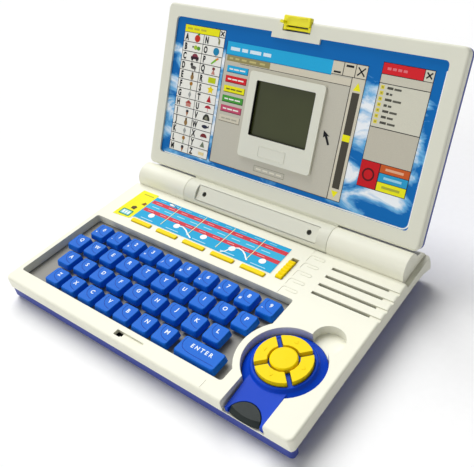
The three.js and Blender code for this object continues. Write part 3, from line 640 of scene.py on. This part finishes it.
# Small pictures as filled shapes: form, ink, layers above the first, and numbers in halves of the
# picture's height. A disc has its centre, its radii and, where only a part shows, two angles.
PICTURES = {
    "fruit": [("disc", "#c8301e", 0, (0, -0.1, 0.9, 0.9)), ("disc", INK_GREEN, 1, (0.3, 0.9, 0.4, 0.2))],
    "butterfly": [
        ("disc", "#a8c83c", 0, (-0.2, 0, 0.6, 0.55)),
        ("disc", "#5a9a34", 0, (0.8, -0.1, 0.55, 0.5)),
        ("disc", INK_BLACK, 0, (-1.1, 0.1, 0.25, 0.25)),
    ],
    "car": [
        ("disc", "#8c3a4c", 0, (0, 0, 1.0, 0.9, *UPPER_HALF)),
        ("box", "#3c2030", 1, (-1.3, -0.5, 1.3, 0.15)),
        ("disc", INK_BLACK, 2, (-0.8, -0.6, 0.35, 0.35)),
        ("disc", INK_BLACK, 2, (0.8, -0.6, 0.35, 0.35)),
    ],
    "animal": [
        ("disc", "#5c5a58", 0, (0, -0.2, 0.9, 0.45)),
        ("disc", "#3c3a3a", 0, (-0.7, 0.5, 0.45, 0.45)),
        ("box", "#3c3a3a", 0, (0.4, -1.0, 0.7, -0.2)),
    ],
    "vase": [("disc", "#9a7a4a", 0, (0, -0.3, 0.55, 0.7)), ("box", "#6a5430", 0, (-0.3, 0.2, 0.3, 0.95))],
    "flower": [("disc", "#a8742c", 0, (0, 0.4, 0.5, 0.5)), ("box", "#5c7a30", 0, (-0.12, -1.0, 0.12, 0))],
    "kite": [("shape", "#a4a8a4", 0, ((-0.5, 0), (0, -1.0), (0.5, 0), (0, 0.9)))],
    "hut": [
        ("shape", "#a83a34", 0, ((-1.1, 0.1), (1.1, 0.1), (0, 0.9))),
        ("box", "#cc8a7c", 0, (-0.8, -0.8, 0.8, 0.1)),
    ],
    "cone": [
        ("shape", "#a86a3c", 0, ((-0.4, 0.1), (0, -1.0), (0.4, 0.1))),
        ("disc", "#3c3a40", 0, (0, 0.35, 0.45, 0.4)),
    ],
    "crescent": [
        ("disc", "#8a8a5a", 0, (0, 0, 0.8, 1.0, -0.9, 1.9)),
        ("disc", INK_WHITE, 1, (-0.45, 0.15, 0.7, 0.85)),
    ],
    "ball": [("disc", INK_TEAL, 0, (0, 0, 0.95, 0.95))],
    "pencil": [
        ("shape", "#7cc03c", 0, ((-1.2, -0.7), (-0.9, -0.9), (0.5, 0.2), (0.1, 0.6))),
        ("shape", "#e88a3c", 0, ((0.1, 0.6), (0.5, 0.2), (1.2, 0.7), (0.9, 1.0))),
    ],
    "doll": [
        ("disc", "#7c3a3a", 0, (0, 0.5, 0.45, 0.4)),
        ("shape", "#c88a7c", 0, ((-0.6, -0.9), (0.6, -0.9), (0, 0.5))),
    ],
    "block": [("box", "#c3cf12", 0, (-1.2, -0.7, 1.2, 0.7))],
    "star": [("shape", "#f2d91c", 0, STAR)],
    "triangle": [("shape", "#b8202a", 0, ((-0.75, -0.8), (0.75, -0.8), (0, 0.95)))],
    "umbrella": [
        ("disc", "#b02434", 0, (0, 0, 1.0, 0.75, *UPPER_HALF)),
        ("box", "#c87c84", 0, (-0.08, -0.9, 0.08, 0)),
    ],
    "dome": [
        ("disc", "#3c3c34", 0, (0, -0.7, 1.15, 1.6, *UPPER_HALF)),
        ("disc", "#8a8a74", 1, (0, -0.5, 0.5, 0.8, *UPPER_HALF)),
    ],
    "whale": [
        ("disc", "#2c3044", 0, (-0.1, 0, 1.0, 0.45)),
        ("shape", "#2c3044", 0, ((0.7, 0), (1.3, 0.6), (1.2, -0.2))),
    ],
    "hill": [("disc", "#7a2c30", 0, (0, -0.4, 1.1, 1.0, *UPPER_HALF))],
    "boat": [("shape", "#74806c", 0, ((-0.8, -0.6), (0.8, -0.6), (0.1, 0.9)))],
    "stripe": [("box", "#ecd9a0", 0, (-0.9, -0.4, 0.9, 0.4))],
}
PICTURE_COLUMNS = (
    "fruit butterfly car animal vase flower kite hut cone vase kite flower cone".split(),
    "crescent ball pencil doll block star triangle umbrella dome whale hill boat stripe".split(),
)


def picture(art, kind, x, y, size):
    """A small plain picture drawn from its filled shapes, centred on x, y."""
    for form, shade, above, numbers in PICTURES[kind]:
        layer = 5 + above
        if form == "disc":
            dx, dy, rx, ry, *angles = numbers
            art.oval(x + dx * size, y + dy * size, rx * size, ry * size, shade, layer, *angles)
        elif form == "box":
            x0, y0, x1, y1 = (number * size for number in numbers)
            art.box(x + x0, y + y0, x + x1, y + y1, shade, layer)
        else:
            art.shape(np.array(numbers) * size + (x, y), shade, layer)


def close_cross(art, x, y, half, layer):
    """The two crossed strokes of a window's corner box."""
    art.stroke([(x - half, y - half), (x + half, y + half)], 0.9, INK_BLACK, layer)
    art.stroke([(x - half, y + half), (x + half, y - half)], 0.9, INK_BLACK, layer)


def letter_table(art):
    """Letters A to Z in two columns of thirteen cells, each beside its small picture."""
    t = PICTURE_TABLE
    art.outlined(t.left, t.bottom, t.right, t.top, INK_WHITE, INK_BLACK, 0.45, 1)
    art.box(t.left + 0.3, t.title, t.right - 5.8, t.top - 0.5, INK_YELLOW, 3)
    for k in range(3):
        x = t.left + 2.5 + 6.8 * k
        art.box(x, t.title + 2.0, x + 5.1, t.title + 3.4, "#c8be3a", 4)
    art.box(t.right - 6.0, t.title, t.right - 5.4, t.top, INK_BLACK, 4)
    close_cross(art, t.right - 3.0, (t.title + t.top) / 2, 1.6, 5)
    pitch = (t.title - t.bottom) / 13
    for row in range(13):
        y = t.title - row * pitch
        art.box(t.left, y - 0.25, t.right, y + 0.25, INK_BLACK, 3)
    art.box(t.middle - 0.25, t.bottom, t.middle + 0.25, t.title, INK_BLACK, 3)
    for column, (x_letter, x_picture) in enumerate(((-97.0, -86.6), (-77.2, -66.8))):
        for row in range(13):
            y = t.title - (row + 0.5) * pitch
            letter = chr(ord("A") + column * 13 + row)
            art.words(letter, x_letter, y, 4.7, INK_BLACK, 4, bold=0.05, stretch=0.66)
            picture(art, PICTURE_COLUMNS[column][row], x_picture, y, 3.0)


def main_window(art):
    """The large window round the display: title bar, window boxes, menu, six buttons and a scroll bar."""
    w = MAIN_WINDOW
    line, s = "#3a3a36", SURROUND
    places = (
        (w.left, w.bottom, -s.half + TUCK, w.top),
        (s.half - TUCK, w.bottom, w.right, w.top),
        (-s.half + TUCK, w.bottom, s.half - TUCK, s.bottom + TUCK),
        (-s.half + TUCK, s.top - TUCK, s.half - TUCK, w.top),
    )
    art.boxes(places, INK_GRAY, 1)
    places = (
        (w.left, w.bottom - 0.4, w.right, w.bottom),
        (w.left - 0.4, w.bottom - 0.4, w.left, w.top),
        (w.right, w.bottom - 0.4, w.right + 0.4, w.top + 0.4),
        (w.boxes, w.top, w.right, w.top + 0.4),
        (w.boxes, w.title + 0.4, w.right, w.title + 0.8),
        (w.scroll - 0.25, w.bottom, w.scroll + 0.25, w.title + 0.4),
        (w.left + 14, w.strip - 0.35, w.scroll, w.strip),
    )
    art.boxes(places, line, 4)
    art.box(w.left, w.title, w.boxes, w.top, INK_CYAN, 2)
    art.box(w.left, w.title - 0.5, w.boxes, w.title, "#1a7fb4", 3)
    for x, width in ((-53.6, 8.4), (-43.2, 5.2), (-36.0, 9.8), (-24.2, 6.6)):
        art.box(x, w.title + 3.0, x + width, w.title + 5.4, "#dff2fa", 3)
    art.box(w.left + 1.5, w.strip, w.scroll, w.title - 0.5, INK_STRIP, 2)
    art.box(w.left + 1.5, w.strip + 0.4, w.menu, w.title - 0.5, INK_OLIVE, 3)
    for offset, width in ((3.8, 3.2), (9.2, 3.6), (15.0, 4.4), (22.0, 6.0), (31.2, 4.6)):
        x = w.left + offset
        art.box(x, w.strip + 1.9, x + width, w.strip + 3.2, "#c8bc7c", 4)
    art.box(w.boxes, w.title + 0.8, w.right, w.top, INK_STRIP, 3)
    for x in (40.4, 49.2):
        art.box(x - 0.25, w.title + 0.8, x + 0.25, w.top, line, 5)
    art.box(33.6, w.title + 1.6, 38.8, w.title + 2.8, INK_BLACK, 5)
    art.box(42.0, w.top - 2.6, 47.6, w.top - 1.2, INK_BLACK, 5)
    close_cross(art, 53.4, (w.title + w.top) / 2 + 0.4, 2.6, 5)
    for k, (fill, edge, dash) in enumerate(SIDE_BUTTONS):
        top = 100.2 - 7.25 * k
        left = -54.2 - 0.12 * k
        art.box(left, top - 5.0, left + 19.6, top, edge, 2)
        art.box(left, top - 4.4, left + 19.0, top, fill, 3)
        for x, width in ((2.2, 3.4), (6.4, 4.6), (11.8, 5.0)):
            art.box(left + x, top - 2.9, left + x + width, top - 1.9, dash, 4)
    art.box(w.scroll + 0.3, w.bottom, w.right, w.title + 0.3, INK_STRIP, 2)
    art.box(49.9, 34.9, 55.4, 99.3, "#4a463c", 3)
    art.box(49.7, 67.2, 55.3, 71.6, INK_YELLOW, 4)
    art.shape([(50.0, 100.6), (55.6, 100.6), (52.9, 105.8)], INK_YELLOW, 4)
    art.shape([(49.9, 33.2), (55.2, 33.2), (52.5, 28.6)], INK_YELLOW, 4)
    art.shape(CURSOR, INK_BLACK, 5)
    places = (
        (-15.8, 29.6, 11.2, 30.0),
        (-15.8, 33.6, 11.2, 34.0),
        (-15.8, 29.6, -15.4, 34.0),
        (10.8, 29.6, 11.2, 34.0),
    )
    art.boxes(places, "#9c9a84", 3)
    for k in range(4):
        art.box(-13.6 + 6.0 * k, 31.2, -9.2 + 6.0 * k, 32.3, "#e8e4d0", 3)


def side_window(art):
    """The narrow window at the right: red title, a list of seven rows, an empty box and colour tiles."""
    w = SIDE_WINDOW
    art.outlined(w.left, w.bottom, w.right, w.top, "#d8d6c4", INK_BLACK, 0.45, 1)
    art.box(w.left + 0.4, w.title, w.right - 6.6, w.top - 0.4, INK_RED, 3)
    for k in range(4):
        x = w.left + 3.4 + 3.6 * k
        art.box(x, w.title + 2.6, x + 2.6, w.title + 4.2, "#e87880", 4)
    art.box(w.right - 6.7, w.title, w.right - 6.3, w.top, INK_BLACK, 4)
    close_cross(art, w.right - 3.3, (w.title + w.top) / 2, 1.8, 4)
    art.box(w.left, w.title - 0.4, w.right, w.title, INK_BLACK, 4)
    art.box(w.left + 0.4, w.strip, w.right - 0.4, w.title - 0.4, "#d0ccba", 3)
    art.box(w.left, w.strip - 0.45, w.right, w.strip, INK_BLACK, 4)
    for k, width in enumerate((9.6, 4.2, 11.0, 5.4, 10.0, 8.2, 10.4)):
        y = 106.4 - 3.62 * k
        art.box(68.7, y - 1.2, 71.2, y + 1.2, "#e6d84a", 3)
        art.box(69.3, y - 0.5, 70.6, y + 0.5, "#b0a038", 4)
        art.box(73.2, y - 0.75, 73.2 + width * 0.42, y + 0.8, "#4e4e45", 3)
        art.box(73.9 + width * 0.42, y - 0.75, 73.2 + width, y + 0.55, "#5c5c52", 3)
    art.box(w.left, w.list - 0.25, w.right, w.list + 0.25, INK_BLACK, 4)
    art.box(w.left + 0.4, w.tiles, w.right - 0.4, w.list, "#c6c1b0", 3)
    art.box(w.left, w.bottom, w.right, w.tiles, INK_BLACK, 4)
    art.box(w.left + 0.2, w.bottom + 0.4, 80.3, w.tiles - 0.4, "#cc1620", 5)
    art.oval(73.6, 50.4, 4.4, 4.4, "#5c1018", 6)
    art.oval(73.6, 50.4, 3.2, 3.2, "#cc1620", 7)
    for low, high, shade, dash in TILES:
        art.box(80.9, low, w.right - 0.4, high, shade, 5)
        art.box(84.5, (low + high) / 2 - 0.8, 97.0, (low + high) / 2 + 0.8, dash, 6)


def screen_artwork():
    """Everything printed on the panel, over the sky."""
    art = Artwork()
    s = SCREEN
    turn = np.linspace(-np.pi / 2, 0, 7)
    x, y, r = s.half - 5.2, s.bottom + 5.2, 4.6
    bend = zip(x + r * np.cos(turn), y + r * np.sin(turn))
    art.stroke([(-s.half + 4, y - r), *bend, (x + r, s.top - 6)], 0.9, "#f2f6f4", 1)
    letter_table(art)
    main_window(art)
    side_window(art)
    art.piece("screen_panel_print", "lid", LID, s.floor + PRINT_THICKNESS)


def display_window():
    """A black liner on the display window's inner wall, painted shade for its shadowed walls, and the thin
    outline moulded below it.
    """
    d, wall = DISPLAY, 0.3
    xs = [-d.half - 0.05, -d.half + wall, d.half - wall, d.half + 0.05]
    ys = [d.bottom - 0.05, d.bottom + wall, d.top - wall, d.top + 0.05]
    # the black liner is painted shade: the window's walls are cream and only dark in shadow
    points, faces = plate_of_cells(xs, ys, [(1, 1)], d.glass + 0.05, SURROUND.face - 0.12)
    piece("display_window_painted_shade", "lid", LID, [(points, faces, PAINTED_SHADE_BLACK)])
    outline = rounded_rectangle(-13.4, 41.2, 9.6, 49.0, 0.8)
    points, faces = bead(outline, 0.28, 0.22, SURROUND.face - 0.02, closed=True)
    piece("display_surround_outline", "lid", LID, [(points, faces, LID_ABS_PAINTED_SHADE)], smooth=True)


# ---------------------------------------------------------------- the label strip over the mode buttons

LABEL = SimpleNamespace(
    left=-107.0, split=-89.2, right=40.0, front=96.0, corner_front=91.2,
    back=123.2, corner_back=125.4,
)
LABEL_DASHES = np.arange(LABEL.split + 5, LABEL.right - 8, 13.15)
# the white ribbons that swing from section to section
RIBBONS = (
    ((-50.1, 103.4), (-45.2, 104.6), (-40.6, 102.8), (-37.2, 100.4), (-31.6, 97.4)),
    (
        (-3.4, 96.6), (-0.4, 98.4), (0.8, 101.4), (2.4, 104.2), (6.4, 105.9), (10.6, 105.0),
        (14.2, 102.6), (16.8, 100.0), (18.6, 98.6),
    ),
)


def label_strip():
    """The printed strip: a yellow block with two plain pictures, then a cyan field in five sections with
    two red bands, white dots, and cream lines between the sections."""
    b = LABEL
    outline = [
        (b.left, b.corner_front),
        (-91.0, b.corner_front + 1.2),
        (-86.8, b.front),
        (b.right, b.front),
        (b.right - 0.8, b.back),
        (b.split, b.back),
        (b.split, b.corner_back),
        (b.left + 1.0, b.corner_back),
    ]
    base = 0.04
    art = Artwork()
    notch = [(-89.8, b.front - 2.6), (b.split, b.front)]
    art.shape([*outline[:2], *notch, *outline[6:]], "#f4ee1a", 1)
    art.shape([(b.split, b.front), *outline[3:5], (b.split, b.back)], "#1ba6d8", 1)
    art.shape([(-89.8, b.front - 1.2), (-86.8, b.front), (b.split, b.front)], "#1ba6d8", 2)
    for low, high in ((105.5, 109.1), (115.4, 119.2)):
        art.box(b.split + 1.0, low, b.right - 0.6, high, "#d23a48", 3)
        for x in LABEL_DASHES:
            art.box(x, (low + high) / 2 - 0.35, x + 6.4, (low + high) / 2 + 0.35, "#ec9a9c", 4)
    art.box(b.split + 1.0, 109.1, b.right - 0.6, 115.4, "#35b2dc", 2)
    for x in LABEL_DASHES:
        art.box(x, 111.9, x + 7.6, 112.7, "#a8dcec", 4)
        art.box(x + 1, 120.8, x + 7.0, 121.5, "#86cfe8", 4)
    for k in range(5):
        x = -76.3 + 26.2 * k
        art.oval(x, 103.2, 2.7, 2.5, "#f8fafa", 5)
        art.box(x - 6.5, 97.6, x + 6.0, 98.4, "#a4dcf0", 4)
    for x in (-62.5, -36.4, -9.1, 17.6):
        art.stroke([(x, 98.6), (x, 122.4)], 0.6, "#ecefb8", 6)
    for path in RIBBONS:
        art.stroke(path, 1.1, "#eef7f8", 7)
    art.oval(-70.6, 121.2, 3.0, 1.2, "#e4f4f6", 7)
    art.stroke([(-74.5, 122.7), (-71.0, 122.4), (-67.0, 120.9), (-64.6, 119.4)], 0.5, "#20506c", 8)
    art.shape(rounded_rectangle(-103.6, 93.6, -92.4, 100.4, 1.0), "#2c8a5c", 4)
    art.shape(rounded_rectangle(-102.6, 94.5, -93.4, 99.5, 0.8), "#8fd4dc", 5)
    for k in range(3):
        art.box(-101.4 + 2.7 * k, 95.6, -99.8 + 2.7 * k, 98.6, "#f4fafa", 6)
    dark_patch = [(-98.4, 102.6), (-94.6, 102.2), (-94.0, 105.4), (-96.2, 106.6), (-98.8, 105.2)]
    art.shape(dark_patch, "#5c4a1c", 4)
    brown_patch = [(-94.4, 110.2), (-90.6, 109.8), (-90.2, 112.4), (-92.6, 113.4)]
    art.shape(brown_patch, "#8a5a1c", 4)
    art.box(-101.5, 121.2, -91.5, 122.0, "#b4aa28", 4)
    art.piece("label_strip_print", "base", DECK, base + 0.14)
    points, faces = prism(outline, base, base + 0.15)
    piece("label_strip_sheet", "base", DECK, [(points, faces, LABEL_FILM)])


# ---------------------------------------------------------------- key legends

LEGEND_OFFSET = (0.8, 1.7)
DIGIT_SIGNS = "+-x=/%<>#*"
ARC_POINTS = ((-3.1, 5.7), (-3.6, 3.6), (-3.4, 1.2), (-2.2, -0.9), (-0.2, -2.4), (2.4, -3.3), (5.4, -3.7))
ENTER_ARC = (
    (-13.2, 5.7), (-13.7, 3.0), (-13.2, 0.2), (-11.4, -2.1), (-8.4, -3.3), (-4.0, -3.8), (6.0, -3.9),
    (14.2, -3.9),
)


def smooth_path(points, per_span=4):
    """A curve through the points: each span is a cubic whose end slopes come from its neighbours."""
    p = np.asarray(points, float)
    padded = np.concatenate([[2 * p[0] - p[1]], p, [2 * p[-1] - p[-2]]])
    a, b, c, d = padded[:-3, None], padded[1:-2, None], padded[2:-1, None], padded[3:, None]
    t = np.linspace(0, 1, per_span, endpoint=False)[None, :, None]
    squared, cubed = 2 * a - 5 * b + 4 * c - d, 3 * b - a - 3 * c + d
    curve = 0.5 * (2 * b + (c - a) * t + squared * t**2 + cubed * t**3)
    return np.concatenate([curve.reshape(-1, 2), p[-1:]])


def key_legend(name, x, y, letters, arc, height, sign=""):
    """The white legend printed on a cap and the arc moulded beside it."""
    lift = KEY_TOP + 0.03
    parts = []
    for text, dx, dy, size in ((letters, *LEGEND_OFFSET, height), (sign, -3.6, -2.4, 2.0)):
        if text:
            spacing = 1.6 if len(text) > 1 else 1.0
            points, faces = glyphs(text, (x + dx, y + dy), size, spacing=spacing, bold=0.03)
            parts.append((np.column_stack([points, np.full(len(points), lift)]), faces, LEGEND_INK))
    # the arc's darker blue is painted shade for the shadow along its line
    points, faces = bead(smooth_path(np.array(arc) + (x, y)), 0.2, 0.14, KEY_TOP - 0.02)
    parts.append((points, faces, KEY_LINE_PAINTED_SHADE))
    piece(f"legend_{name}", f"key_{name}_cap", DECK, parts)


def key_legends():
    """A legend for each cap, row by row from the front."""
    for row, (letters, first_x) in enumerate(KEY_ROWS):
        for column, letter in enumerate(letters):
            x, y = first_x + KEY_PITCH * column, FIRST_ROW_Y + ROW_PITCH * row
            sign = DIGIT_SIGNS[column] if letter.isdigit() else ""
            key_legend(letter, x, y, letter.upper(), ARC_POINTS, 2.9, sign)
    key_legend("enter", ENTER_X, FIRST_ROW_Y, "ENTER", ENTER_ARC, 2.7)


# ---------------------------------------------------------------- marks moulded in the casings


RIDGE_ROOT = 0.03  # a ridge starts this far inside the deck
RIDGES = SimpleNamespace(count=5, first=84.4, pitch=8.45, nose_x=63.6, nose=1.25)


def deck_marks():
    """The row of hook-shaped ridges beside the slider, and the short line on the front rim."""
    parts = []
    turn = np.linspace(np.pi / 2, -np.pi / 2, 7)
    round_nose = RIDGES.nose * np.stack([np.cos(turn), np.sin(turn)], -1)
    for k in range(RIDGES.count):
        y = RIDGES.first + RIDGES.pitch * k
        nose = round_nose + (RIDGES.nose_x, y + 5.6)
        shank = [(53.7, y), (53.6, y + 4.6), (53.9, y + 6.0), (55.0, y + 6.8), (58.0, y + 6.85)]
        path = np.concatenate([shank, nose, [(60.0, y + 4.35), (57.0, y + 4.3)]])
        parts.append((*bead(smooth_path(path, 3), 0.3, 0.3, -RIDGE_ROOT), CREAM_ABS))
    rear_tick = [(53.6, 126.6), (53.5, 128.0), (53.5, 130.0), (53.5, 131.2)]
    parts.append((*bead(rear_tick, 0.3, 0.3, -RIDGE_ROOT), CREAM_ABS))
    front_tick = [(59.0, 1.2), (59.0, 3.0), (59.0, 5.0), (59.0, 7.4)]
    parts.append((*bead(front_tick, 0.25, 0.22, -RIDGE_ROOT), CREAM_ABS))
    piece("deck_ridges", "base", DECK, parts, smooth=True)


def top_over_deck(node):
    """How high a node's top stands over the deck's plane, in millimetres."""
    mesh = frame["nodes"][node].data
    points = np.zeros(len(mesh.vertices) * 3)
    mesh.vertices.foreach_get("co", points)
    back = np.linalg.inv(DECK)
    local = (points.reshape(-1, 3) / MM) @ back[:3, :3].T + back[:3, 3]
    return float(local[:, 2].max())


def arrow_marks():
    """A small raised triangle on each arc of the ring, pointing outwards."""
    top = top_over_deck("arrow_ring")
    parts = []
    for k in range(4):
        turn = np.pi / 2 * k + np.pi / 2
        out = np.array([np.cos(turn), np.sin(turn)])
        side = np.array([-out[1], out[0]])
        centre = np.array([MOUSE_X, MOUSE_Y]) + out * 13.4
        outline = [centre + out * 1.3, centre - out * 0.9 + side * 1.4, centre - out * 0.9 - side * 1.4]
        parts.append((*prism(outline, top - 0.1, top + 0.14, 0.1), YELLOW_ABS))
    piece("arrow_ring_marks", "arrow_ring_cap", DECK, parts)


def crossed_screw(centre, base, radius, up=1.0):
    """A pan-head screw: a low dome, with two black bars let into it as painted shade in place of a cross
    recess.
    """
    dome = ((1, 0.0), (1, 0.25), (0.92, 0.5), (0.7, 0.68), (0.35, 0.76), (0.05 / radius, 0.78))
    points, faces = revolved([(radius * r, base + up * h) for r, h in dome], centre)
    if up < 0:
        faces = [face[::-1] for face in faces]
    bars = []
    for long, wide in ((radius * 0.55, radius * 0.14), (radius * 0.14, radius * 0.55)):
        x, y = centre
        outline = [(x - long, y - wide), (x + long, y - wide), (x + long, y + wide), (x - long, y + wide)]
        low, high = sorted((base + up * 0.6, base + up * 0.83))
        # the black bars are painted shade standing for the recess's shadow
        bars.append((*prism(outline, low, high), PAINTED_SHADE_BLACK))
    return [(points, faces, SCREW_STEEL), *bars]


COVER_SCREW = SimpleNamespace(x=47.2, centre_x=-1.8, turn=-19.0, seat=7.25, radius=1.65)


def cover_screws():
    """The two screws in the recesses of the hinge cover, whose plane is turned about the knuckle."""
    c = COVER_SCREW
    seat = LID @ turned_about_x(math.radians(c.turn), (c.centre_x, 0, 0))
    for name, x in (("left", -c.x), ("right", c.x)):
        parts = crossed_screw((x, 0.0), c.seat, c.radius)
        piece(f"hinge_cover_screw_{name}", "lid", seat, parts)


CASING_SCREWS = SimpleNamespace(xs=(-88.0, 88.0), ys=(-66.0, 8.0, 34.0), radius=2.4, rim=3.6)
BATTERY_SCREW = (0.0, -20.0)


def height_over(node, x, y):
    """How high the lowest face of a CAD node stands over a point of the floor, in millimetres."""
    point = frame["nodes"][node].ray_cast(Vector((x, y, -10)) * MM, (0, 0, 1))[1]
    return point.z / MM


def underside_screws():
    """The screws that hold the casings together and the battery cover's own screw, with raised rims."""
    c = CASING_SCREWS
    places = [("base_bottom_casing", x, y) for x in c.xs for y in c.ys]
    around = np.linspace(0, 2 * np.pi, 24, endpoint=False)
    circle = c.rim * np.stack([np.cos(around), np.sin(around)], -1)
    for number, (node, x, y) in enumerate([*places, ("battery_cover", *BATTERY_SCREW)], 1):
        seat = height_over(node, x, y) + 0.03
        points, faces = bead(circle + (x, y), 0.5, 0.35, 0.0, closed=True)
        points = np.asarray(points) * (1, 1, -1) + (0, 0, seat + 0.02)
        ring = (points, [face[::-1] for face in faces], CASING_ABS)
        parts = [*crossed_screw((x, y), seat, c.radius, up=-1.0), ring]
        piece(f"underside_screw_{number}", "base", LEVEL, parts)


# ---------------------------------------------------------------- build every piece

printed_panel()
screen_artwork()
display_window()
label_strip()
key_legends()
deck_marks()
arrow_marks()
cover_screws()
underside_screws()

# ---------------------------------------------------------------- floor, light and camera

SKY_LIGHT = 0.2
# name, the way towards the light, how wide it looks in degrees, strength
LAMPS = (
    ("key_from_upper_left", (-0.5, 0.25, 0.83), 46, 2.95),
    ("fill_from_the_front", (-0.4, -0.88, 0.27), 50, 1.1),
)


def studio():
    """A plain pale floor under a soft even sky, a broad key light from high on the left, a little
    behind, and a low soft fill from the front that reaches the lid's face."""
    reach = 3000.0
    corners = [(-reach, -reach, 0), (reach, -reach, 0), (reach, reach, 0), (-reach, reach, 0)]
    floor = piece("studio_floor", "base", LEVEL, [(corners, [[0, 1, 2, 3]], FLOOR_PAPER)])
    floor.parent = None
    del floor["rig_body"]

    world = bpy.data.worlds.new("studio")
    world.use_nodes = True
    sky = world.node_tree.nodes["Background"].inputs
    sky["Color"].default_value, sky["Strength"].default_value = (1.0, 1.0, 1.0, 1.0), SKY_LIGHT
    bpy.context.scene.world = world
    for name, towards, spread, strength in LAMPS:
        light = bpy.data.lights.new(name, "SUN")
        light.energy, light.angle = strength, math.radians(spread)
        lamp = bpy.data.objects.new(name, light)
        bpy.context.scene.collection.objects.link(lamp)
        lamp.rotation_euler = Vector(towards).to_track_quat("Z", "Y").to_euler()


CAMERA_PLACE = (231.6, -248.5, 288.6)
CAMERA_TURN = (54.13, 4.80, 36.76)
CAMERA_LENS = 46.63
CAMERA_SHIFT = (-0.0316, -0.0285)


def camera():
    """The camera in front, to the right and above, looking down over the mouse at the keys."""
    lens = bpy.data.cameras.new("camera")
    lens.lens, lens.sensor_width = CAMERA_LENS, 36.0
    lens.shift_x, lens.shift_y = CAMERA_SHIFT
    lens.clip_start, lens.clip_end = 0.01, 20.0
    eye = bpy.data.objects.new("camera", lens)
    bpy.context.scene.collection.objects.link(eye)
    eye.location = Vector(CAMERA_PLACE) * MM
    eye.rotation_euler = [math.radians(a) for a in CAMERA_TURN]
    bpy.context.scene.camera = eye
    bpy.context.scene.view_settings.view_transform = "Standard"


studio()
camera()
